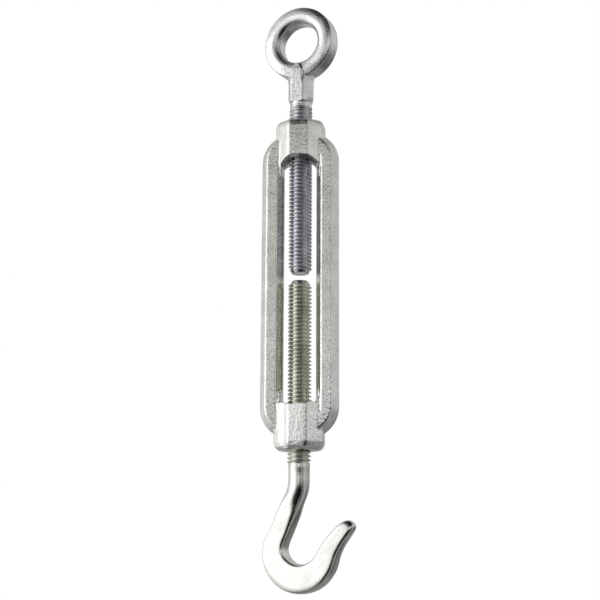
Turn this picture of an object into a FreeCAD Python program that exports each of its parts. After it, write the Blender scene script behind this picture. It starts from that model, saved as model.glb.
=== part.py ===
import FreeCAD, Part
import math
import os

# Hook-and-eye rigging turnbuckle, closed pattern for an M6 screw.
# Origin: centre of the eye's hole. +Z runs up the screw axis, +X across the two bars of the frame.
# Everything is in millimetres.

# Screw thread, ISO metric M6 coarse; left-hand on the eye bolt and right-hand on the hook bolt
PITCH = 1.0
MAJOR_R = 3.0
PITCH_R = 2.675
ROOT_R = 2.387
FLANK = math.radians(30)
RIDGE_SINK = 0.08
FLANK_GAP = 0.085
CREST_GAP = 0.1
TAPPED_BORE_R = 2.53
TAP_SINK = 0.05
MOUTH_R = 3.35
CLEAR = 1.0

# Frame casting
FRAME_CENTRE_Z = -64.65
FRAME_HALF_LENGTH = 43.1
WINDOW_HALF_LENGTH = 32.5
WINDOW_WIDTH = 8.2
WINDOW_ARCH_SPAN = 2.3
WINDOW_FACE_DEPTH = 5.4
WINDOW_DRAFT = 1.1
WINDOW_END_DRAFT = 0.5
WINDOW_FACE_ARCH_SPAN = 1.1
BAR_WIDTH = 6.0
BAR_DEPTH = 5.8
BAR_FLAT = 2.7
BAR_LAND = 0.8
BAR_EDGE_R = 0.35
CORNER_R = 5.05
SHOULDER_HALF_LENGTH = 40.1
BOSS_WIDTH = 12.7
BOSS_DEPTH = 10.2
BOSS_FLAT = 5.0
BOSS_LAND = 3.6
BOSS_EDGE_R = 0.5
BOSS_ROOT_DROP = 2.4
BOSS_ROOT_RISE = 1.3
BOSS_ROOT_FLAT = 8.6
CAP_LENGTH = 2.1
CAP_INSET_ACROSS = 1.75
CAP_INSET_THROUGH = 1.4
CAP_STEPS = 3

# Both bolts stand turned by this much about the screw axis, against the frame
BOLT_TURN_DEG = -15.5

# Point of each bolt
POINT_LENGTH = 0.6
POINT_FACE_R = 2.15

# Eye bolt
EYE_HOLE_R = 5.4
EYE_OUTER_R = 9.75
EYE_HALF_DEPTH = 2.75
EYE_LAND_HALF = 1.7
EYE_INNER_BEAD_R = 6.2
EYE_INNER_BEAD_HALF = 2.5
EYE_BEAD_R = 7.3
EYE_OUTER_BEAD_R = 8.5
EYE_OUTER_BEAD_HALF = 2.6
EYE_FLANK_HALF = 2.15
EYE_EDGE_R = 0.35
EYE_TIP_Z = -62.3
EYE_THREAD_END_Z = -17.8
EYE_SHANK_R = 2.85
NECK_START_Z = -16.4
NECK_STEP_Z = -15.3
NECK_START_WIDTH = 5.8
NECK_WIDTH = 6.5
NECK_DEPTH = 5.8
NECK_FLAT = 3.6
NECK_LAND = 2.0
NECK_WAIST_Z = -10.8
NECK_ROOT_Z = -7.6
NECK_ROOT_WIDTH = 8.0
NECK_ROOT_DEPTH = 4.6
TONGUE_START_Z = -12.0
TONGUE_WIDTH = 4.4
TONGUE_DEPTH = 5.9
TONGUE_SHOULDER_Z = -7.6
TONGUE_TIP_Z = -5.8
TONGUE_TIP_WIDTH = 1.6
TONGUE_TIP_DEPTH = 5.3
TONGUE_FLAT_SHARE = 0.7
NECK_EDGE_R = 0.25

# Hook bolt
HOOK_TIP_Z = -64.3
HOOK_THREAD_END_Z = -110.9
HOOK_SHANK_R = 2.7
BEND_START_Z = -115.0
BEND_R = 9.0
BEND_ANGLE = math.radians(27)
THROAT_X = 1.15
THROAT_Z = -130.6
THROAT_R = 5.0
LIMB_SWELL = 0.9
SWELL_SPREAD = 1.5
BOWL_X = 0.65
BOWL_Z = -132.8
BOWL_R = 9.8
LIP_ANGLE = math.radians(49)
LIP_START = math.radians(-38)
LIP_END_X = 14.6
LIP_END_Z = -125.5
LIP_END_WIDTH = 3.3
LIP_BOW = 0.85
BODY_DEPTH = 4.8
LIP_END_DEPTH = 3.2
ROUND = 2
BODY_POWER = 7
LIP_POWER = 3.5
SHANK_STEPS = 2
BEND_STEPS = 2
LIMB_STEPS = 3
BOWL_STEPS = 8
LIP_STEPS = 3
LIP_ROUND_SHARE = 0.18
LIP_ROUND_STEPS = 3
LIP_END_SIZE = 0.25

RUN_OUT = 0.9
HALF_SECTION_POINTS = 13


def point(x, y, z):
    return FreeCAD.Vector(x, y, z)


UP = point(0, 0, 1)
ACROSS = point(1, 0, 0)
THROUGH = point(0, 1, 0)
ORIGIN = point(0, 0, 0)


def outward(solid):
    """The solid with its faces looking outwards."""
    if solid.Volume < 0:
        solid.reverse()
    return solid


def soft_polygon(corners, radius):
    """Closed wire through the corners, each rounded by an arc that starts radius away from the corner."""
    edges = []
    count = len(corners)
    starts = []
    for number, corner in enumerate(corners):
        before = (corners[number - 1] - corner).normalize()
        after = (corners[(number + 1) % count] - corner).normalize()
        enter = corner + before * radius
        leave = corner + after * radius
        middle = (enter + leave) * 0.25 + corner * 0.5
        starts.append((enter, middle, leave))
    for number, (enter, middle, leave) in enumerate(starts):
        edges.append(Part.Arc(enter, middle, leave).toShape())
        edges.append(Part.makeLine(leave, starts[(number + 1) % count][0]))
    return Part.Wire(edges)


def octagon(width, depth, flat, land):
    """Corners of a section drafted to a side land and a front flat, as (across, through)."""
    half_w = width / 2
    half_d = depth / 2
    quarter = [(half_w, land / 2), (flat / 2, half_d)]
    right = [(half_w, -land / 2)] + quarter
    left = [(-flat / 2, half_d), (-half_w, land / 2), (-half_w, -land / 2)]
    front = [(-flat / 2, -half_d), (flat / 2, -half_d)]
    return right + left + front


def revolve_outline(outline):
    """Solid of revolution about the screw axis from (radius, height) corners."""
    corners = [point(radius, 0, height) for radius, height in outline]
    face = Part.Face(Part.makePolygon(corners + corners[:1]))
    return outward(face.revolve(ORIGIN, UP, 360))


def helix_ridge(low_z, high_z, profile):
    """Left-hand thread ridge between two heights from (radius, half width) at its root and its crest."""
    (root_r, root_half), (crest_r, crest_half) = profile
    start_z = math.floor(low_z / PITCH) * PITCH
    helix = Part.makeHelix(PITCH, high_z - start_z, PITCH_R, 0, True)
    corners = [
        point(root_r, 0, -root_half),
        point(crest_r, 0, -crest_half),
        point(crest_r, 0, crest_half),
        point(root_r, 0, root_half),
    ]
    section = Part.Wire(Part.makePolygon(corners + corners[:1]))
    ridge = Part.Wire(helix).makePipeShell([section], True, True)
    ridge.translate(UP * start_z)
    return outward(ridge)


def other_hand(shape):
    """Mirror image through the level of the eye: a left-hand screw above turns into a right-hand one below."""
    return outward(shape.mirror(ORIGIN, UP))


def half_width(radius, extra):
    return PITCH / 4 + (PITCH_R - radius) * math.tan(FLANK) + extra


def male_thread(tip_z, end_z):
    """Left-hand threaded length of a bolt, from just past its point up to the run-out into its shank."""
    core_start = tip_z + POINT_LENGTH
    core = Part.makeCylinder(ROOT_R, end_z - core_start, point(0, 0, core_start))
    profile = [
        (ROOT_R - RIDGE_SINK, half_width(ROOT_R - RIDGE_SINK, 0)),
        (MAJOR_R, half_width(MAJOR_R, 0)),
    ]
    ridge = helix_ridge(tip_z - PITCH, end_z + PITCH, profile)
    clear_r = MAJOR_R + PITCH
    envelope = revolve_outline(
        [
            (0, core_start),
            (ROOT_R, core_start),
            (clear_r, core_start + clear_r - ROOT_R),
            (clear_r, end_z - RUN_OUT - PITCH),
            (ROOT_R, end_z),
            (0, end_z),
        ]
    )
    return core.fuse(ridge.common(envelope))


def tap(low_z, high_z):
    """Plain bore and thread groove of a left-hand tapped hole, with clearance on every flank."""
    extra = FLANK_GAP / math.cos(FLANK)
    inner_r = TAPPED_BORE_R - TAP_SINK
    outer_r = MAJOR_R + CREST_GAP
    profile = [(inner_r, half_width(inner_r, extra)), (outer_r, half_width(outer_r, extra))]
    bottom = point(0, 0, low_z - PITCH)
    bore = Part.makeCylinder(TAPPED_BORE_R, high_z - low_z + 2 * PITCH, bottom)
    return bore, helix_ridge(low_z - PITCH, high_z + PITCH, profile)


def bolt_point(tip_z, towards_end):
    """Plain chamfered end of a bolt; towards_end is 1 where the bolt stands on it, -1 where it hangs."""
    body_z = tip_z + towards_end * POINT_LENGTH
    outline = [(0, tip_z), (POINT_FACE_R, tip_z), (ROOT_R, body_z), (0, body_z)]
    return revolve_outline(outline)


def turned(shape):
    """The shape turned with the bolts about the screw axis."""
    result = shape.copy()
    result.rotate(ORIGIN, UP, BOLT_TURN_DEG)
    return result


def half_section(station, face):
    """Points round half a section, from the side it faces to the far side; face is -1 front, 1 back."""
    centre, side, half_side, half_depth, power = station
    points = []
    for number in range(HALF_SECTION_POINTS):
        angle = math.pi * number / (HALF_SECTION_POINTS - 1)
        cosine = math.cos(angle)
        sine = math.sin(angle)
        reach = (abs(cosine) ** power + abs(sine) ** power) ** (-1 / power)
        across = side * (half_side * reach * cosine)
        points.append(centre + across + THROUGH * (face * half_depth * reach * sine))
    return points


def forging(stations):
    """Solid through a row of sections, in two halves that meet at the parting line of the dies."""
    faces = []
    rims = {0: [], -1: []}
    for face in (-1, 1):
        rows = [half_section(station, face) for station in stations]
        surface = Part.BSplineSurface()
        surface.interpolate(rows)
        skin = surface.toShape()
        faces.append(skin)
        for end, rim in rims.items():
            near = rows[end][HALF_SECTION_POINTS // 2]
            rim.append(min(skin.Edges, key=lambda edge: edge.distToShape(Part.Vertex(near))[0]))
    for rim in rims.values():
        faces.append(Part.Face(Part.Wire(Part.__sortEdges__(rim))))
    shell = Part.makeShell(faces)
    shell.sewShape()
    return outward(Part.Solid(shell))


def frame_bars():
    """The two bars and the rounded shoulders that join them, one closed loop of a drafted section."""
    reach_x = (WINDOW_WIDTH + BAR_WIDTH) / 2
    reach_z = SHOULDER_HALF_LENGTH - BAR_WIDTH / 2
    corners = octagon(BAR_WIDTH, BAR_DEPTH, BAR_FLAT, BAR_LAND)
    straight_z = reach_z - CORNER_R
    straight_x = reach_x - CORNER_R
    pieces = []
    for side in (-1, 1):
        upright = soft_polygon([point(side * reach_x + u, v, -straight_z) for u, v in corners], BAR_EDGE_R)
        pieces.append(outward(Part.Face(upright).extrude(UP * (2 * straight_z))))
        for end in (-1, 1):
            level = soft_polygon(
                [point(side * reach_x + u, v, end * straight_z) for u, v in corners], BAR_EDGE_R
            )
            pivot = point(side * straight_x, 0, end * straight_z)
            pieces.append(outward(Part.Face(level).revolve(pivot, THROUGH, -90 * side * end)))
    for end in (-1, 1):
        cross = soft_polygon([point(-straight_x, v, end * reach_z + u) for u, v in corners], BAR_EDGE_R)
        pieces.append(outward(Part.Face(cross).extrude(ACROSS * (2 * straight_x))))
    return pieces[0].fuse(pieces[1:])


def boss_section(end, height, width, depth, flat, land):
    """Closed outline of a boss at one height."""
    corners = octagon(width, depth, flat, land)
    return soft_polygon([point(across, through, end * height) for across, through in corners], BOSS_EDGE_R)


def frame_boss(end):
    """One boss: a drafted octagonal barrel that closes in at its outer end and runs down into the bars."""
    inner_z = WINDOW_HALF_LENGTH - WINDOW_ARCH_SPAN
    root = (inner_z - BOSS_ROOT_DROP, BOSS_WIDTH, BAR_DEPTH, BOSS_ROOT_FLAT, BAR_LAND)
    rise = (inner_z + BOSS_ROOT_RISE, BOSS_WIDTH, BOSS_DEPTH, BOSS_FLAT, BOSS_LAND)
    sections = [boss_section(end, *root), boss_section(end, *rise)]
    for number in range(CAP_STEPS + 1):
        angle = math.pi / 2 * number / CAP_STEPS
        height = FRAME_HALF_LENGTH - CAP_LENGTH * (1 - math.sin(angle))
        across = 2 * CAP_INSET_ACROSS * (1 - math.cos(angle))
        through = 2 * CAP_INSET_THROUGH * (1 - math.cos(angle))
        width = BOSS_WIDTH - across
        depth = BOSS_DEPTH - through
        flat = BOSS_FLAT - across / 2
        land = BOSS_LAND - through / 2
        sections.append(boss_section(end, height, width, depth, flat, land))
    return outward(Part.makeLoft(sections, True, True))


def window_outline(half_w, arch_z, span, depth):
    """Closed outline of the opening between the bars at one depth, arched at each end."""
    spring_z = arch_z - span
    edges = []
    for end in (1, -1):
        lower = point(end * half_w, depth, -end * spring_z)
        upper = point(end * half_w, depth, end * spring_z)
        far = point(-end * half_w, depth, end * spring_z)
        edges.append(Part.makeLine(lower, upper))
        edges.append(Part.Arc(upper, point(0, depth, end * arch_z), far).toShape())
    return Part.Wire(edges)


def frame_window():
    """Opening between the bars, drafted wider from the parting plane to each face."""
    half_w = WINDOW_WIDTH / 2
    parting = window_outline(half_w, WINDOW_HALF_LENGTH, WINDOW_ARCH_SPAN, 0)
    face_half_w = half_w + WINDOW_DRAFT
    face_z = WINDOW_HALF_LENGTH + WINDOW_END_DRAFT
    halves = []
    for side in (-1, 1):
        face = window_outline(face_half_w, face_z, WINDOW_FACE_ARCH_SPAN, side * WINDOW_FACE_DEPTH)
        halves.append(outward(Part.makeLoft([parting, face], True, True)))
    return halves[0].fuse(halves[1])


def frame():
    """The casting: bars, shoulders and bosses in one, with a tapped hole through each boss."""
    body = frame_bars().fuse([frame_boss(1), frame_boss(-1)]).removeSplitter()
    body = body.cut(frame_window())
    body.translate(UP * FRAME_CENTRE_Z)
    inner = WINDOW_HALF_LENGTH - WINDOW_ARCH_SPAN
    upper = tap(FRAME_CENTRE_Z + inner, FRAME_CENTRE_Z + FRAME_HALF_LENGTH)
    lower = tap(inner - FRAME_CENTRE_Z, FRAME_HALF_LENGTH - FRAME_CENTRE_Z)
    for bore, groove in (upper, [other_hand(cutter) for cutter in lower]):
        body = body.cut(turned(groove)).cut(bore)
    for end in (-1, 1):
        outer_z = FRAME_CENTRE_Z + end * FRAME_HALF_LENGTH
        root_z = outer_z - end * (MOUTH_R - TAPPED_BORE_R)
        past_z = outer_z + end * CLEAR
        corners = [(0, past_z), (MOUTH_R + CLEAR, past_z), (TAPPED_BORE_R, root_z), (0, root_z)]
        body = body.cut(revolve_outline(corners))
    return body


def eye_ring():
    """Forged ring about the eye's hole, with a rounded bead on each face and a flat outer flank."""
    half = [
        (EYE_HOLE_R, EYE_LAND_HALF),
        (EYE_INNER_BEAD_R, EYE_INNER_BEAD_HALF),
        (EYE_BEAD_R, EYE_HALF_DEPTH),
        (EYE_OUTER_BEAD_R, EYE_OUTER_BEAD_HALF),
        (EYE_OUTER_R, EYE_FLANK_HALF),
    ]
    front = [point(radius, -depth, 0) for radius, depth in half]
    back = [point(radius, depth, 0) for radius, depth in reversed(half)]
    face = Part.Face(soft_polygon(front + back, EYE_EDGE_R))
    return outward(face.revolve(ORIGIN, THROUGH, 360))


def eye_shank():
    """Round shank that the thread runs out into."""
    low = EYE_THREAD_END_Z - RUN_OUT
    outline = [
        (0, low),
        (ROOT_R - RIDGE_SINK, low),
        (EYE_SHANK_R, EYE_THREAD_END_Z),
        (EYE_SHANK_R, NECK_STEP_Z),
        (0, NECK_STEP_Z),
    ]
    return revolve_outline(outline)


def neck_loft(stations):
    """Solid through octagonal sections given as (height, width, depth, flat, land)."""
    outlines = []
    for height, *sizes in stations:
        corners = [point(across, through, height) for across, through in octagon(*sizes)]
        outlines.append(soft_polygon(corners, NECK_EDGE_R))
    return outward(Part.makeLoft(outlines, True, True))


def eye_neck():
    """Flattened neck that widens from the shank into the ring."""
    return neck_loft(
        (
            (NECK_START_Z, NECK_START_WIDTH, NECK_DEPTH, NECK_FLAT, NECK_LAND),
            (NECK_STEP_Z, NECK_WIDTH, NECK_DEPTH, NECK_FLAT, NECK_LAND),
            (NECK_WAIST_Z, NECK_WIDTH, NECK_DEPTH, NECK_FLAT, NECK_LAND),
            (NECK_ROOT_Z, NECK_ROOT_WIDTH, NECK_ROOT_DEPTH, NECK_FLAT, NECK_LAND),
        )
    )


def eye_tongue():
    """End of the neck's front and back that lies over the ring and points at the hole."""
    land = NECK_LAND
    tip_flat = TONGUE_TIP_WIDTH * TONGUE_FLAT_SHARE
    flat = TONGUE_WIDTH * TONGUE_FLAT_SHARE
    return neck_loft(
        (
            (TONGUE_START_Z, TONGUE_WIDTH, TONGUE_DEPTH, flat, land),
            (TONGUE_SHOULDER_Z, TONGUE_WIDTH, TONGUE_DEPTH, flat, land),
            (TONGUE_TIP_Z, TONGUE_TIP_WIDTH, TONGUE_TIP_DEPTH, tip_flat, land),
        )
    )


def eye_bolt():
    """Eye, neck and left-hand thread in one forging."""
    thread = male_thread(EYE_TIP_Z, EYE_THREAD_END_Z)
    hole = Part.makeCylinder(EYE_HOLE_R, 4 * EYE_HALF_DEPTH, THROUGH * (-2 * EYE_HALF_DEPTH), THROUGH)
    head = eye_ring().fuse([eye_neck(), eye_tongue()]).cut(hole)
    return turned(head.fuse(eye_shank()).fuse(thread))


def shank_stations():
    """Sections down the hook's shank and round its bend."""
    stations = [(point(0, 0, HOOK_THREAD_END_Z + RUN_OUT), -ACROSS, ROOT_R, ROOT_R, ROUND)]
    for step in range(SHANK_STEPS + 1):
        height = HOOK_THREAD_END_Z + (BEND_START_Z - HOOK_THREAD_END_Z) * step / SHANK_STEPS
        stations.append((point(0, 0, height), -ACROSS, HOOK_SHANK_R, HOOK_SHANK_R, ROUND))
    for step in range(BEND_STEPS):
        angle = BEND_ANGLE * (step + 1) / BEND_STEPS
        centre = point(-BEND_R * (1 - math.cos(angle)), 0, BEND_START_Z - BEND_R * math.sin(angle))
        side = point(-math.cos(angle), 0, math.sin(angle))
        stations.append((centre, side, HOOK_SHANK_R, HOOK_SHANK_R, ROUND))
    return stations


def limb_stations(start, end):
    """Sections between two others along the straight limb under the bend."""
    stations = []
    for step in range(1, LIMB_STEPS):
        between = [low + (high - low) * step / LIMB_STEPS for low, high in zip(start, end)]
        stations.append(tuple(between))
    return stations


def bowl_stations():
    """Sections round the throat, between the throat's circle and the bowl's."""
    throat = point(THROAT_X, 0, THROAT_Z)
    offset = throat - point(BOWL_X, 0, BOWL_Z)
    first = math.pi - BEND_ANGLE
    last = 2 * math.pi + LIP_START
    stations = []
    for number in range(BOWL_STEPS + 1):
        angle = first + (last - first) * number / BOWL_STEPS
        ray = point(math.cos(angle), 0, math.sin(angle))
        along = offset.dot(ray)
        outer = -along + math.sqrt(along ** 2 - offset.dot(offset) + BOWL_R ** 2)
        swell = LIMB_SWELL * max(0, math.cos(SWELL_SPREAD * (angle - first))) ** 2
        inner = THROAT_R - swell * (number < BOWL_STEPS / 2)
        centre = throat + ray * ((inner + outer) / 2)
        stations.append((centre, ray, (outer - inner) / 2, BODY_DEPTH / 2, BODY_POWER))
    return stations


def lip_shares():
    """Places along the lip with the size left there, as (share of the length, share of the size)."""
    straight = 1 - LIP_ROUND_SHARE
    shares = [(straight * number / LIP_STEPS, 1) for number in range(1, LIP_STEPS + 1)]
    for number in range(1, LIP_ROUND_STEPS + 1):
        angle = math.pi / 2 * number / LIP_ROUND_STEPS
        size = LIP_END_SIZE + (1 - LIP_END_SIZE) * math.cos(angle)
        shares.append((straight + LIP_ROUND_SHARE * math.sin(angle), size))
    return shares


def lip_stations(root):
    """Sections along the flared lip from the last section of the bowl, closing in a blunt round end."""
    lip_root, _, root_half, root_depth, root_power = root
    lip_end = point(LIP_END_X, 0, LIP_END_Z)
    side = point(math.sin(LIP_ANGLE), 0, -math.cos(LIP_ANGLE))
    stations = []
    for share, size in lip_shares():
        bow = 4 * LIP_BOW * share * (1 - share)
        centre = lip_root + (lip_end - lip_root) * share - side * bow
        half_side = (root_half + (LIP_END_WIDTH / 2 - root_half) * share) * size
        half_depth = (root_depth + (LIP_END_DEPTH / 2 - root_depth) * share) * size
        power = root_power + (LIP_POWER - root_power) * share
        stations.append((centre, side, half_side, half_depth, power))
    return stations


def hook_bolt():
    """Hook, shank and right-hand thread in one forging."""
    shank = shank_stations()
    bowl = bowl_stations()
    limb = limb_stations(shank[-1], bowl[0])
    hook = forging(shank + limb + bowl + lip_stations(bowl[-1]))
    thread = other_hand(male_thread(-HOOK_TIP_Z, -HOOK_THREAD_END_Z))
    return turned(hook.fuse(thread))


PARTS = {
    "frame": frame,
    "eye_bolt": eye_bolt,
    "eye_bolt_point": lambda: bolt_point(EYE_TIP_Z, 1),
    "hook_bolt": hook_bolt,
    "hook_bolt_point": lambda: bolt_point(HOOK_TIP_Z, -1),
}

os.makedirs("parts", exist_ok=True)
for name, build in PARTS.items():
    shape = build()
    shape.exportStep("parts/" + name + ".step")
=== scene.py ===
import math

import bmesh
import bpy
import numpy as np
from mathutils import Matrix, Vector, noise


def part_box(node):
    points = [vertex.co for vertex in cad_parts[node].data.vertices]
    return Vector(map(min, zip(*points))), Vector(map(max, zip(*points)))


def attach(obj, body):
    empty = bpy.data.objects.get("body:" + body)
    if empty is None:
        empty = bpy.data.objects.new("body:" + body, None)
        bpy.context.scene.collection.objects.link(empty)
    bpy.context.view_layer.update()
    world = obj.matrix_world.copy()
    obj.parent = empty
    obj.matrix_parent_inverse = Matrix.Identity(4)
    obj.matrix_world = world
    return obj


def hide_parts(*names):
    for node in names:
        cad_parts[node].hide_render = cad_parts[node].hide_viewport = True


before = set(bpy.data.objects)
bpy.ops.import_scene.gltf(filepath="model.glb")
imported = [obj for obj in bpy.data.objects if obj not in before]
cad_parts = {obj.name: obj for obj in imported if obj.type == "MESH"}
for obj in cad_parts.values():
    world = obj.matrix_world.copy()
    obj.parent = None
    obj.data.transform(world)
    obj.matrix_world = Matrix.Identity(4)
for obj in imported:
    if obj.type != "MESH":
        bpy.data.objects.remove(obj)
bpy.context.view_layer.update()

MM = 0.001

# Screw thread, M6 x 1 as in the CAD; BOLT_TURN is how far both bolts stand turned at rest
PITCH = 1.0 * MM
MAJOR_R = 3.0 * MM
PITCH_R = 2.675 * MM
ROOT_R = 2.387 * MM
FLANK = math.radians(30)
BORE_R = 3.1 * MM
TAPPED_R = 2.53 * MM
FLANK_GAP = 0.085 * MM
BOLT_TURN = math.radians(-15.5)

# Rounding of a rolled thread's crest and root: distances along the screw from the crest's middle, in
# pitches, and changes in radius
CREST_FLAT = 0.08
CREST_EDGE = 0.12
CREST_DROP = 0.045 * MM
ROOT_FLAT = 0.42
ROOT_EDGE = 0.36
ROOT_LIFT = 0.05 * MM
THREAD_PHASES = (-0.5, -0.43, -0.37, -0.3, -0.2, -0.11, -0.055, 0.055, 0.11, 0.2, 0.3, 0.37, 0.43)
WEAR = 0.012 * MM
WEAR_SCALE = 2

# Grids round the screw axis
COLUMNS = 72
SPARE_TURNS = 2
WELD = 1e-8
STUB_WELD = 1e-7

# Shanks and run-outs; the thread runs a little way into its shank, just under the shank's surface
POINT_LENGTH = 0.6 * MM
RUN_ON = 0.4 * MM
RUN_ON_SINK = 0.02 * MM
LEAD_SINK = 0.01 * MM
EYE_SHANK_R = 2.85 * MM
HOOK_SHANK_R = 2.7 * MM
EYE_THREAD_END_Z = -17.8 * MM
HOOK_THREAD_END_Z = -110.9 * MM
LEAD = 0.8 * MM

# Radius and depth from the end, in millimetres, of a bolt's plain end with its slightly dished face
POINT_OUTLINE = (
    (0.0, 0.06),
    (1.2, 0.05),
    (1.75, 0.015),
    (2.0, 0.0),
    (2.1, 0.015),
    (2.16, 0.07),
    (2.27, 0.32),
    (2.387, 0.6),
    (2.387, 0.75),
    (0.0, 0.75),
)

FRAME_LOW, FRAME_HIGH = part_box("frame")
HOOK_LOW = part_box("hook_bolt")[0]
EYE_TIP_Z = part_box("eye_bolt_point")[0].z
HOOK_TIP_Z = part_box("hook_bolt_point")[1].z

# Tapped holes: the ridge lies between these distances from the casting's end, and fades in and out
TAPPED_DEPTH = 10.2 * MM
TAPPED_INSET = 0.7 * MM
RIDGE_BITE = 0.1 * MM
FADE_TURNS = 1 / 3
FADED_SHARE = 0.05

# Cutters run this far past what they cut
CASTING_CLEAR = 2 * MM
BOLT_CLEAR = 5 * MM

# Voxel remesh and smoothing that stand for the rounding of casting and forging
VOXEL = 0.15 * MM
SMOOTHING = 0.5
CASTING_ROUNDS = 16
FORGING_ROUNDS = 5

# Relief of the casting: feature sizes, then heights in millimetres
PEEL_SIZE = 0.75 * MM
FINE_PEEL_SIZE = 0.4 * MM
FINE_PEEL_SHARE = 0.6
SWAY_SIZE = 7 * MM
PIT_SIZE = 1.1 * MM
PIT_LEVEL = 0.35
SIDE_SHARE = 0.25
FACING_FROM = 0.75
FACING_GAIN = 5
PEEL_HEIGHT = 0.022
SWAY_HEIGHT = 0.03
PIT_DEPTH = 0.06
CASTING_INWARD = 0.045

# Relief of the forgings, the same way
SCALE_SIZE = 0.6 * MM
SLOW_SIZE = 3.2 * MM
SLOW_HEIGHT = 0.03
SCALE_HEIGHT = 0.006
FORGING_INWARD = 0.02

# The lower boss's front face, which stands proud of the bars, leans a little to the left
LOWER_BOSS_Z = FRAME_LOW.z + 20 * MM
PROUD_Y = 3.2 * MM
LEAN_RIGHT_X = 2.9 * MM
LEAN_WIDTH = 6.5 * MM
LEAN = 0.5 * MM

# and its edge at the window stands higher than the upper boss's
LEDGE_Z = FRAME_LOW.z + 10.6 * MM
LEDGE_FOOT = 4.5 * MM
LEDGE_RISE = 1.6 * MM
LEDGE_HALF = 6.2 * MM
LEDGE_BOW = 0.62
LEDGE_SIDE = 0.5 * MM
LEDGE_BACK_Y = 0.4 * MM
LEDGE_FRONT_Y = 0.8 * MM


# ---------------------------------------------------------------- mesh tools


def new_object(name, mesh):
    thing = bpy.data.objects.new(name, mesh)
    bpy.context.scene.collection.objects.link(thing)
    return thing


def mesh_object(name, vertices, faces):
    mesh = bpy.data.meshes.new(name)
    mesh.from_pydata([tuple(v) for v in vertices], [], faces)
    mesh.validate()
    return new_object(name, mesh)


def cad_copy(node, name):
    """A welded copy of a CAD node's mesh as a new piece."""
    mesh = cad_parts[node].data.copy()
    mesh.materials.clear()
    mesh.name = name
    edit = bmesh.new()
    edit.from_mesh(mesh)
    bmesh.ops.remove_doubles(edit, verts=edit.verts, dist=WELD)
    edit.to_mesh(mesh)
    edit.free()
    return new_object(name, mesh)


def bake(piece):
    """Makes a piece's modifiers part of its mesh."""
    depsgraph = bpy.context.evaluated_depsgraph_get()
    baked = bpy.data.meshes.new_from_object(piece.evaluated_get(depsgraph))
    spent = piece.data
    piece.modifiers.clear()
    piece.data = baked
    baked.name = piece.name
    bpy.data.meshes.remove(spent)
    return piece


def combine(piece, other, operation):
    """Adds another closed mesh to a piece or takes it away, and removes the other."""
    step = piece.modifiers.new("combine", "BOOLEAN")
    step.operation = operation
    step.solver = "MANIFOLD"
    step.object = other
    bake(piece)
    bpy.data.objects.remove(other)
    return piece


def cylinder(radius, low_z, high_z):
    """A cutter round the screw axis."""
    edit = bmesh.new()
    place = Matrix.Translation((0, 0, (low_z + high_z) / 2))
    bmesh.ops.create_cone(
        edit,
        cap_ends=True,
        segments=COLUMNS * 2,
        radius1=radius,
        radius2=radius,
        depth=high_z - low_z,
        matrix=place,
    )
    mesh = bpy.data.meshes.new("cutter")
    edit.to_mesh(mesh)
    edit.free()
    return new_object("cutter", mesh)


def soften(piece, rounds):
    """Remeshes a piece evenly and rounds its edges, as casting and forging do."""
    even = piece.modifiers.new("even", "REMESH")
    even.mode = "VOXEL"
    even.voxel_size = VOXEL
    rounder = piece.modifiers.new("rounder", "SMOOTH")
    rounder.factor = SMOOTHING
    rounder.iterations = rounds
    return bake(piece)


def points_and_normals(mesh):
    count = len(mesh.vertices)
    points = np.zeros(count * 3, np.float32)
    normals = np.zeros(count * 3, np.float32)
    mesh.vertices.foreach_get("co", points)
    mesh.vertices.foreach_get("normal", normals)
    return points.reshape(-1, 3).astype(float), normals.reshape(-1, 3).astype(float)


def rumple(piece, height_at):
    """Moves each vertex along its normal by height_at(point, normal)."""
    points, normals = points_and_normals(piece.data)
    moves = np.array([height_at(Vector(p), n) for p, n in zip(points, normals)])
    points += normals * moves[:, None]
    piece.data.vertices.foreach_set("co", points.astype(np.float32).ravel())
    piece.data.update()


def face_outward(piece, weld=0.0):
    """Turns every face of a closed mesh outwards, after welding points closer than weld."""
    edit = bmesh.new()
    edit.from_mesh(piece.data)
    if weld:
        bmesh.ops.remove_doubles(edit, verts=edit.verts, dist=weld)
    bmesh.ops.recalc_face_normals(edit, faces=edit.faces)
    edit.to_mesh(piece.data)
    edit.free()


def shade_smooth(piece):
    smooth = np.ones(len(piece.data.polygons), bool)
    piece.data.polygons.foreach_set("use_smooth", smooth)
    piece.data.update()


# ---------------------------------------------------------------- threads


def thread_profile(phase):
    """Radius of a rolled thread at a share of a turn from its crest, with its corners rounded."""
    away = abs(phase)
    if away < CREST_FLAT:
        return MAJOR_R
    if away < CREST_EDGE:
        return MAJOR_R - CREST_DROP
    if away > ROOT_FLAT:
        return ROOT_R
    if away > ROOT_EDGE:
        return ROOT_R + ROOT_LIFT
    return PITCH_R + (0.25 - away) * PITCH / math.tan(FLANK)


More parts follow.
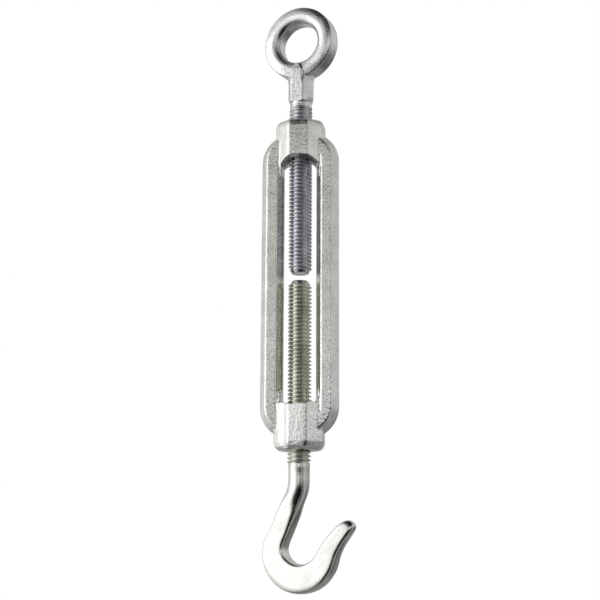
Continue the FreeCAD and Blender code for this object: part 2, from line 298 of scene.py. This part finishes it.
def threaded_rod(name, tip_z, end_z, shank_r, hand):
    """A bolt's thread from its point to its run-out, on a grid along the helix; hand is 1 for right."""
    rise = 1 if end_z > tip_z else -1
    rows_a_turn = len(THREAD_PHASES)
    low_z, high_z = sorted((tip_z + rise * POINT_LENGTH, end_z + rise * RUN_ON))
    first = math.floor(low_z / PITCH) - SPARE_TURNS
    last = math.ceil(high_z / PITCH) + SPARE_TURNS
    vertices = []
    for turn in range(first, last):
        for phase in THREAD_PHASES:
            for column in range(COLUMNS):
                angle = 2 * math.pi * column / COLUMNS
                z = PITCH * (turn + phase + hand * (angle - BOLT_TURN) / (2 * math.pi))
                from_tip = (z - tip_z) * rise
                to_end = (end_z - z) * rise
                across = math.cos(angle) * WEAR_SCALE
                along = math.sin(angle) * WEAR_SCALE
                radius = thread_profile(phase)
                radius += WEAR * noise.noise(Vector((across, along, z / PITCH)))
                radius = min(radius, ROOT_R + max(0, from_tip - POINT_LENGTH))
                radius = min(radius, shank_r - RUN_ON_SINK + max(0, to_end))
                lead = shank_r - LEAD_SINK - max(0, to_end) * (shank_r - ROOT_R) / LEAD
                radius = max(radius, lead)
                vertices.append((radius * math.cos(angle), radius * math.sin(angle), z))
    rows = (last - first) * rows_a_turn
    faces = []
    for row in range(rows - 1):
        for column in range(COLUMNS):
            after = column + 1
            jump = 0
            if after == COLUMNS:
                after = 0
                jump = hand * rows_a_turn
            if 0 <= row + jump and row + 1 + jump < rows:
                a = row * COLUMNS + column
                b = (row + jump) * COLUMNS + after
                faces.append((a, b, b + COLUMNS, a + COLUMNS))
    rod = mesh_object(name, vertices, faces)
    edit = bmesh.new()
    edit.from_mesh(rod.data)
    for level, up in ((low_z, -1), (high_z, 1)):
        everything = edit.verts[:] + edit.edges[:] + edit.faces[:]
        bmesh.ops.bisect_plane(
            edit, geom=everything, plane_co=(0, 0, level), plane_no=(0, 0, up), clear_outer=True
        )
    rim = [edge for edge in edit.edges if edge.is_boundary]
    bmesh.ops.holes_fill(edit, edges=rim)
    bmesh.ops.recalc_face_normals(edit, faces=edit.faces)
    edit.to_mesh(rod.data)
    edit.free()
    return rod


def female_ridge(name, low_z, high_z, hand):
    """The thread left standing in a tapped hole, a helical band set a little into the bore's wall."""
    wall_r = BORE_R + RIDGE_BITE
    gap = FLANK_GAP / math.cos(FLANK)
    crest_half = PITCH / 4 + (TAPPED_R - PITCH_R) * math.tan(FLANK) - gap
    wall_half = PITCH / 4 + (wall_r - PITCH_R) * math.tan(FLANK) - gap
    turns = (high_z - low_z) / PITCH
    steps = int(turns * COLUMNS)
    fade = COLUMNS * FADE_TURNS
    middle_turn = math.floor(low_z / PITCH) + 0.5
    vertices = []
    for step in range(steps + 1):
        height = low_z + (high_z - low_z) * step / steps
        angle = BOLT_TURN + hand * 2 * math.pi * (height / PITCH - middle_turn)
        strength = min(1, step / fade, (steps - step) / fade)
        crest_r = wall_r + (TAPPED_R - wall_r) * max(strength, FADED_SHARE)
        for radius, half in (
            (wall_r, -wall_half),
            (crest_r, -crest_half),
            (crest_r, crest_half),
            (wall_r, wall_half),
        ):
            vertices.append((radius * math.cos(angle), radius * math.sin(angle), height + half))
    faces = [(0, 1, 2, 3)]
    for step in range(steps):
        base = step * 4
        for side in range(4):
            other = (side + 1) % 4
            faces.append((base + side, base + 4 + side, base + 4 + other, base + other))
    end = steps * 4
    faces.append((end + 3, end + 2, end + 1, end))
    band = mesh_object(name, vertices, faces)
    face_outward(band)
    return band


# ---------------------------------------------------------------- pieces


def share(value, low, high):
    """0 at and below low, 1 at and above high, and smooth between."""
    way = min(1, max(0, (value - low) / (high - low)))
    return way * way * (3 - 2 * way)


def cast_relief(point, normal):
    """Orange peel and shallow pits of a plated casting, strongest on its front and back faces."""
    frontal = min(1, max(0, (abs(normal[1]) - FACING_FROM) * FACING_GAIN))
    facing = SIDE_SHARE + (1 - SIDE_SHARE) * frontal
    peel = noise.noise(point * (1 / PEEL_SIZE))
    peel += FINE_PEEL_SHARE * noise.noise(point * (1 / FINE_PEEL_SIZE))
    sway = noise.noise(point * (1 / SWAY_SIZE) + Vector((5, 0, 0)))
    pit = min(0, noise.noise(point * (1 / PIT_SIZE) + Vector((0, 9, 0))) + PIT_LEVEL)
    proud = share(-point.y, PROUD_Y, PROUD_Y + MM) * (point.z < LOWER_BOSS_Z)
    lean = LEAN * proud * share(LEAN_RIGHT_X - point.x, 0, LEAN_WIDTH)
    height = PEEL_HEIGHT * facing * peel + SWAY_HEIGHT * sway + PIT_DEPTH * facing * pit
    return (height - CASTING_INWARD) * MM - lean


def raise_ledge(piece):
    """Lifts the front edge of the lower boss, most in its middle, so that edge is level."""
    foot = LEDGE_Z - LEDGE_FOOT
    top = LEDGE_Z + 2 * LEDGE_RISE
    back = PROUD_Y - LEDGE_BACK_Y
    for vertex in piece.data.vertices:
        x, y, z = vertex.co
        if z < foot or z > top or -y < back or abs(x) > LEDGE_HALF:
            continue
        bow = 1 - LEDGE_BOW * (x / LEDGE_HALF) ** 2
        forward = share(-y, back, PROUD_Y + LEDGE_FRONT_Y)
        inside = share(LEDGE_HALF - abs(x), 0, LEDGE_SIDE)
        vertex.co.z += LEDGE_RISE * bow * (forward * inside) * share(z, foot, LEDGE_Z)
    piece.data.update()


def forged_relief(point, normal):
    """Slow unevenness and fine scale of a forging."""
    slow = noise.noise(point * (1 / SLOW_SIZE) + Vector((0, 3, 1)))
    fine = noise.noise(point * (1 / SCALE_SIZE))
    return (SLOW_HEIGHT * slow + SCALE_HEIGHT * fine - FORGING_INWARD) * MM


def make_frame():
    """The casting, with its skin softened and rumpled before the threads are put back in its bosses."""
    casting = cad_copy("frame", "frame_casting")
    bore = cylinder(BORE_R, FRAME_LOW.z - CASTING_CLEAR, FRAME_HIGH.z + CASTING_CLEAR)
    combine(casting, bore, "DIFFERENCE")
    soften(casting, CASTING_ROUNDS)
    raise_ledge(casting)
    rumple(casting, cast_relief)
    upper_low, upper_high = FRAME_HIGH.z - TAPPED_DEPTH, FRAME_HIGH.z - TAPPED_INSET
    lower_low, lower_high = FRAME_LOW.z + TAPPED_INSET, FRAME_LOW.z + TAPPED_DEPTH
    upper = female_ridge("upper_ridge", upper_low, upper_high, -1)
    lower = female_ridge("lower_ridge", lower_low, lower_high, 1)
    combine(casting, upper, "UNION")
    combine(casting, lower, "UNION")
    shade_smooth(casting)
    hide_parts("frame")
    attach(casting, "frame")
    return casting


def make_bolt(node, name, tip_z, end_z, shank_r, hand):
    """A bolt without its plain end: the forged part softened, and a crisp rolled thread."""
    forging = cad_copy(node, name)
    rise = 1 if end_z > tip_z else -1
    cut_low, cut_high = sorted((tip_z - rise * BOLT_CLEAR, end_z))
    combine(forging, cylinder(2 * MAJOR_R, cut_low, cut_high), "DIFFERENCE")
    soften(forging, FORGING_ROUNDS)
    rumple(forging, forged_relief)
    rod = threaded_rod(name + "_thread", tip_z, end_z, shank_r, hand)
    combine(forging, rod, "UNION")
    shade_smooth(forging)
    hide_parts(node)
    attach(forging, node)
    return forging


def make_point(node, name, tip_z, rise):
    """The plain end of a bolt: a turned stub with a softened rim."""
    vertices = []
    for radius, depth in POINT_OUTLINE:
        for column in range(COLUMNS):
            angle = 2 * math.pi * column / COLUMNS
            z = tip_z + rise * depth * MM
            vertices.append((radius * MM * math.cos(angle), radius * MM * math.sin(angle), z))
    faces = []
    for row in range(len(POINT_OUTLINE) - 1):
        for column in range(COLUMNS):
            after = (column + 1) % COLUMNS
            a = row * COLUMNS
            faces.append((a + column, a + after, a + COLUMNS + after, a + COLUMNS + column))
    stub = mesh_object(name, vertices, faces)
    face_outward(stub, STUB_WELD)
    shade_smooth(stub)
    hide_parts(node)
    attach(stub, node)
    return stub


casting = make_frame()
eye = make_bolt(
    "eye_bolt", "eye_bolt_forging", EYE_TIP_Z, EYE_THREAD_END_Z, EYE_SHANK_R, -1
)
hook = make_bolt(
    "hook_bolt", "hook_bolt_forging", HOOK_TIP_Z, HOOK_THREAD_END_Z, HOOK_SHANK_R, 1
)
eye_point = make_point("eye_bolt_point", "eye_bolt_end", EYE_TIP_Z, 1)
hook_point = make_point("hook_bolt_point", "hook_bolt_end", HOOK_TIP_Z, -1)


# ---------------------------------------------------------------- materials

# Where along the object one look of a plating gives way to the next
CAST_LOOK_Z = (-0.098, -0.06)
EYE_LOOK_Z = (-0.0215, -0.0165)
HOOK_LOOK_Z = (-0.118, -0.106)
# Heights between which the eye bolt's neck has painted shade on its front and back
NECK_Z = (-16.8 * MM, -6.8 * MM)

# Sizes of the features in the plating
CLOUD_SIZE = 3.6 * MM
BLOTCH_SIZE = 11 * MM
SMEAR_SIZE = 1.8 * MM
GRAIN_SIZE = 0.13 * MM
NECK_PIT_SIZE = 0.7 * MM

# Ranges of a noise value over which each feature comes in
CLOUD_RANGE = (0.3, 0.7)
BLOTCH_RANGE = (0.5, 0.75)
SPOT_RANGE = (0.44, 0.28)
NECK_PIT_RANGE = (0.34, 0.66)
FRONTAL_RANGE = (0.93, 0.97)

STAIN_SHARE = 0.6
SPOT_DARKNESS = 0.4
SPOT_BUMP = 0.5
GRAIN_BUMP = 0.25
GRAIN_HEIGHT = 0.015 * MM
# Painted shade on the front and back of the eye bolt's neck: how much of it, its dark pits, its lighter
# ground, and how it fades in and out
NECK_SHARE = 0.85
NECK_SHADED_PIT_COLOUR = (0.30, 0.30, 0.31)
NECK_SHADED_LIGHT_COLOUR = (0.74, 0.74, 0.75)
NECK_FADE_IN = MM
NECK_FADE_OUT = 0.5 * MM


def node_material(name):
    material = bpy.data.materials.new(name)
    material.use_nodes = True
    tree = material.node_tree
    shader = tree.nodes["Principled BSDF"]
    return material, tree, shader


def noise_node(tree, coordinates, size, detail=3.0, roughness=0.5):
    texture = tree.nodes.new("ShaderNodeTexNoise")
    texture.inputs["Scale"].default_value = 1 / size
    texture.inputs["Detail"].default_value = detail
    texture.inputs["Roughness"].default_value = roughness
    tree.links.new(coordinates, texture.inputs["Vector"])
    return texture.outputs["Fac"]


def ramp(tree, value, places, colours):
    """One colour at and below the first place, another at and above the second, and a blend between."""
    node = tree.nodes.new("ShaderNodeValToRGB")
    for element, place, colour in zip(node.color_ramp.elements, places, colours):
        element.position = place
        element.color = (*colour, 1)
    tree.links.new(value, node.inputs["Fac"])
    return node.outputs["Color"]


def maths(tree, first, second, operation="ADD"):
    """One sum on two values, either of which may be a socket or a number."""
    node = tree.nodes.new("ShaderNodeMath")
    node.operation = operation
    for socket, value in zip(node.inputs, (first, second)):
        if isinstance(value, bpy.types.NodeSocket):
            tree.links.new(value, socket)
        else:
            socket.default_value = value
    return node.outputs["Value"]


def mapped(tree, value, low, high, to_low, to_high, smooth=False):
    """Takes the range from low to high over to the range from to_low to to_high."""
    node = tree.nodes.new("ShaderNodeMapRange")
    if smooth:
        node.interpolation_type = "SMOOTHSTEP"
    sockets = ("From Min", "From Max", "To Min", "To Max")
    for socket, number in zip(sockets, (low, high, to_low, to_high)):
        node.inputs[socket].default_value = number
    tree.links.new(value, node.inputs["Value"])
    return node.outputs["Result"]


def mixed(tree, amount, first, second):
    """A blend of two colours by the amount of the second."""
    node = tree.nodes.new("ShaderNodeMix")
    node.data_type = "RGBA"
    tree.links.new(amount, node.inputs["Factor"])
    # a colour mix's own sockets come after those of its number and vector forms
    for socket, colour in zip(node.inputs[6:8], (first, second)):
        if isinstance(colour, bpy.types.NodeSocket):
            tree.links.new(colour, socket)
        else:
            socket.default_value = (*colour, 1)
    return node.outputs[2]


def bump(tree, height, strength, distance, under=None):
    """A bumped normal, on top of the one under it where there is one."""
    node = tree.nodes.new("ShaderNodeBump")
    node.inputs["Strength"].default_value = strength
    node.inputs["Distance"].default_value = distance
    tree.links.new(height, node.inputs["Height"])
    if under is not None:
        tree.links.new(under, node.inputs["Normal"])
    return node.outputs["Normal"]


def height_of(tree, place, low_z, high_z):
    """0 at and below one height of the object and 1 at and above another."""
    split = tree.nodes.new("ShaderNodeSeparateXYZ")
    tree.links.new(place, split.inputs[0])
    return mapped(tree, split.outputs["Z"], low_z, high_z, 0, 1, smooth=True)


def facing_front(tree):
    """1 on the faces of a bolt that look straight out of the front or the back, 0 elsewhere."""
    normal = tree.nodes.new("ShaderNodeTexCoord").outputs["Normal"]
    along = tree.nodes.new("ShaderNodeVectorMath")
    along.operation = "DOT_PRODUCT"
    along.inputs[1].default_value = (math.sin(BOLT_TURN), -math.cos(BOLT_TURN), 0)
    tree.links.new(normal, along.inputs[0])
    size = maths(tree, along.outputs["Value"], 0.0, "ABSOLUTE")
    return mapped(tree, size, *FRONTAL_RANGE, 0, 1, smooth=True)


def shaded_pitted_front(tree, place, colour, heights):
    """Painted shade down the front and back of a bolt between two heights, finely speckled with pits.
    """
    bottom, top = heights
    over = height_of(tree, place, bottom, bottom + NECK_FADE_IN)
    under = height_of(tree, place, top + NECK_FADE_OUT, top)
    band = maths(tree, maths(tree, over, under, "MULTIPLY"), facing_front(tree), "MULTIPLY")
    pits = noise_node(tree, place, NECK_PIT_SIZE, 3, 0.7)
    # dark pits on a lighter ground, all of it painted shade
    shaded_pits = ramp(tree, pits, NECK_PIT_RANGE, (NECK_SHADED_PIT_COLOUR, NECK_SHADED_LIGHT_COLOUR))
    return mixed(tree, maths(tree, band, NECK_SHARE, "MULTIPLY"), colour, shaded_pits)


def zinc(name, low, high, heights, stain, rough, speck, speck_size, relief, shaded_pitted=None):
    """Zinc plating that is cloudy, stained, speckled and uneven in gloss, and changes with height.

    low and high are each a dark and a light colour, for below and above heights. rough is the roughness
    range below and then above. speck is how dark the specks are, and relief how deep. The last argument
    gives the heights between which the front and back carry painted shade, speckled with pits.
    """
    material, tree, shader = node_material(name)
    place = tree.nodes.new("ShaderNodeTexCoord").outputs["Object"]
    rise = height_of(tree, place, *heights)
    cloud = noise_node(tree, place, CLOUD_SIZE, 4, 0.55)
    below = ramp(tree, cloud, CLOUD_RANGE, low)
    above = ramp(tree, cloud, CLOUD_RANGE, high)
    colour = mixed(tree, rise, below, above)
    blotch = noise_node(tree, place, BLOTCH_SIZE)
    colour = mixed(tree, mapped(tree, blotch, *BLOTCH_RANGE, 0, STAIN_SHARE), colour, stain)
    spots = noise_node(tree, place, speck_size, 2, 0.6)
    dark = tuple(c * SPOT_DARKNESS for c in low[0])
    colour = mixed(tree, mapped(tree, spots, *SPOT_RANGE, 0, speck), colour, dark)
    # painted shade, speckled with pits, on the front and back of the neck
    if shaded_pitted is not None:
        colour = shaded_pitted_front(tree, place, colour, shaded_pitted)
    tree.links.new(colour, shader.inputs["Base Color"])
    smear = noise_node(tree, place, SMEAR_SIZE, 4, 0.65)
    rough_low = mapped(tree, smear, *CLOUD_RANGE, *rough[0])
    rough_high = mapped(tree, smear, *CLOUD_RANGE, *rough[1])
    gap = maths(tree, rough_high, rough_low, "SUBTRACT")
    roughness = maths(tree, rough_low, maths(tree, gap, rise, "MULTIPLY"))
    tree.links.new(roughness, shader.inputs["Roughness"])
    grain = noise_node(tree, place, GRAIN_SIZE, 3, 0.6)
    normal = bump(tree, grain, GRAIN_BUMP, GRAIN_HEIGHT)
    normal = bump(tree, spots, SPOT_BUMP, relief, normal)
    tree.links.new(normal, shader.inputs["Normal"])
    shader.inputs["Metallic"].default_value = 1.0
    return material


cast = zinc(
    "cast_zinc",
    low=((0.80, 0.80, 0.80), (0.97, 0.97, 0.96)),
    high=((0.70, 0.70, 0.67), (0.93, 0.93, 0.89)),
    heights=CAST_LOOK_Z,
    stain=(0.80, 0.79, 0.74),
    rough=((0.12, 0.26), (0.18, 0.34)),
    speck=0.4,
    speck_size=0.6 * MM,
    relief=0.14 * MM,
)
eye_zinc = zinc(
    "eye_zinc",
    low=((0.52, 0.53, 0.57), (0.78, 0.79, 0.84)),
    high=((0.66, 0.66, 0.68), (0.88, 0.88, 0.89)),
    heights=EYE_LOOK_Z,
    stain=(0.62, 0.62, 0.64),
    rough=((0.12, 0.2), (0.16, 0.32)),
    speck=0.5,
    speck_size=0.5 * MM,
    relief=0.07 * MM,
    # the neck's front and back get painted shade
    shaded_pitted=NECK_Z,
)
hook_zinc = zinc(
    "hook_zinc",
    low=((0.74, 0.74, 0.73), (0.90, 0.90, 0.88)),
    high=((0.56, 0.56, 0.49), (0.82, 0.82, 0.75)),
    heights=HOOK_LOOK_Z,
    stain=(0.80, 0.80, 0.72),
    rough=((0.1, 0.2), (0.12, 0.2)),
    speck=0.3,
    speck_size=0.5 * MM,
    relief=0.02 * MM,
)

for piece, material in (
    (casting, cast),
    (eye, eye_zinc),
    (eye_point, eye_zinc),
    (hook, hook_zinc),
    (hook_point, hook_zinc),
):
    piece.data.materials.clear()
    piece.data.materials.append(material)


# ---------------------------------------------------------------- studio

WHITE = (1, 1, 1, 1)

# The camera looks at a point on the screw axis, from a little below
LOOK_Z = -0.0691
CAMERA_DISTANCE = 0.367
AZIMUTH = math.radians(9.5)
ELEVATION = math.radians(-12)
ROLL = math.radians(0.3)
LENS_MM = 86.3
SENSOR_MM = 36
NEAR = 0.01
FAR = 20

scene = bpy.context.scene
scene.view_settings.view_transform = "Standard"


def aim(thing, place, target, roll=0.0):
    """Puts a camera or light at place, facing target."""
    away = (Vector(place) - Vector(target)).normalized()
    right = Vector((0, 0, 1)).cross(away).normalized()
    up = away.cross(right)
    across = right * math.cos(roll) + up * math.sin(roll)
    above = up * math.cos(roll) - right * math.sin(roll)
    turn = Matrix((across, above, away)).transposed().to_4x4()
    thing.matrix_world = Matrix.Translation(place) @ turn


camera = bpy.data.objects.new("camera", bpy.data.cameras.new("camera"))
scene.collection.objects.link(camera)
camera.data.lens = LENS_MM
camera.data.sensor_width = SENSOR_MM
camera.data.clip_start = NEAR
camera.data.clip_end = FAR
look = Vector((0, 0, LOOK_Z))
view = Vector(
    (
        math.sin(AZIMUTH) * math.cos(ELEVATION),
        -math.cos(AZIMUTH) * math.cos(ELEVATION),
        math.sin(ELEVATION),
    )
)
aim(camera, look + view * CAMERA_DISTANCE, look, ROLL)
scene.camera = camera


def softbox(name, place, width, height, watts):
    """A rectangular light that faces the middle of the object; place is measured from there."""
    light = bpy.data.lights.new(name, "AREA")
    light.shape = "RECTANGLE"
    light.size = width
    light.size_y = height
    light.energy = watts
    thing = bpy.data.objects.new(name, light)
    scene.collection.objects.link(thing)
    aim(thing, Vector(place) + look, look)


softbox("window_light", place=(-0.62, -0.25, 0.12), width=0.35, height=0.5, watts=0.45)


def towards(azimuth, elevation):
    """Unit direction, azimuth from the front of the object towards its right, both in degrees."""
    across = math.radians(azimuth)
    above = math.radians(elevation)
    return (math.sin(across) * math.cos(above), -math.cos(across) * math.cos(above), math.sin(above))


# The tent round the object is TENT_BASE bright, with softly edged areas that are brighter or darker:
# azimuth, elevation, inner and outer half angle, strength
TENT_COLOUR = (1.0, 0.995, 0.98, 1)
TENT_BASE = 0.44
TENT_AREAS = (
    (-80, 5, 25, 60, 0.42),
    (-39, 12, 10, 28, 0.52),
    (8, 12, 8, 22, 0.08),
    (3, 12, 3, 12, 0.55),
    (70, 12, 3, 10, 0.25),
    (64, 22, 10, 34, 0.14),
    (180, 25, 20, 60, 0.1),
    (12, -22, 18, 36, -0.42),
    (52, -18, 12, 32, -0.3),
    (-10, 48, 16, 34, -0.32),
    (30, 45, 12, 32, -0.2),
    (0, 90, 15, 50, -0.22),
    (120, 20, 12, 34, 0.16),
    (125, -15, 15, 32, -0.24),
    (165, -14, 15, 35, -0.14),
    (0, -90, 25, 70, -0.25),
)


def studio_world():
    """Plain white as the background, and for light and reflections the tent's bright and dark areas."""
    world = bpy.data.worlds.new("studio")
    scene.world = world
    world.use_nodes = True
    tree = world.node_tree
    tree.nodes.clear()
    output = tree.nodes.new("ShaderNodeOutputWorld")
    direction = tree.nodes.new("ShaderNodeTexCoord").outputs["Generated"]
    total = None
    for azimuth, elevation, inner, outer, strength in TENT_AREAS:
        facing = tree.nodes.new("ShaderNodeVectorMath")
        facing.operation = "DOT_PRODUCT"
        facing.inputs[1].default_value = towards(azimuth, elevation)
        tree.links.new(direction, facing.inputs[0])
        low = math.cos(math.radians(outer))
        high = math.cos(math.radians(inner))
        area = mapped(tree, facing.outputs["Value"], low, high, 0, strength, smooth=True)
        total = maths(tree, area, TENT_BASE if total is None else total)
    total = maths(tree, total, 0.0, "MAXIMUM")
    lit = tree.nodes.new("ShaderNodeBackground")
    lit.inputs["Color"].default_value = TENT_COLOUR
    tree.links.new(total, lit.inputs["Strength"])
    plain = tree.nodes.new("ShaderNodeBackground")
    plain.inputs["Color"].default_value = WHITE
    seen = tree.nodes.new("ShaderNodeLightPath").outputs["Is Camera Ray"]
    choose = tree.nodes.new("ShaderNodeMixShader")
    tree.links.new(seen, choose.inputs[0])
    tree.links.new(lit.outputs[0], choose.inputs[1])
    tree.links.new(plain.outputs[0], choose.inputs[2])
    tree.links.new(choose.outputs[0], output.inputs["Surface"])


studio_world()

# The floor glows a little, so it stays pale, and the metal doesn't mirror it
FLOOR_Z = HOOK_LOW.z - 60 * MM
FLOOR_HALF = 3
FLOOR_CORNERS = ((-1, -1), (1, -1), (1, 1), (-1, 1))
FLOOR_COLOUR = (0.92, 0.92, 0.92, 1)
FLOOR_ROUGHNESS = 0.9
FLOOR_GLOW = 0.48

floor = mesh_object(
    "floor",
    [(x * FLOOR_HALF, y * FLOOR_HALF, FLOOR_Z) for x, y in FLOOR_CORNERS],
    [(0, 1, 2, 3)],
)
floor_material, _, floor_shader = node_material("floor_paint")
floor_shader.inputs["Base Color"].default_value = FLOOR_COLOUR
floor_shader.inputs["Roughness"].default_value = FLOOR_ROUGHNESS
floor_shader.inputs["Emission Color"].default_value = WHITE
floor_shader.inputs["Emission Strength"].default_value = FLOOR_GLOW
floor.data.materials.append(floor_material)
floor.visible_glossy = False
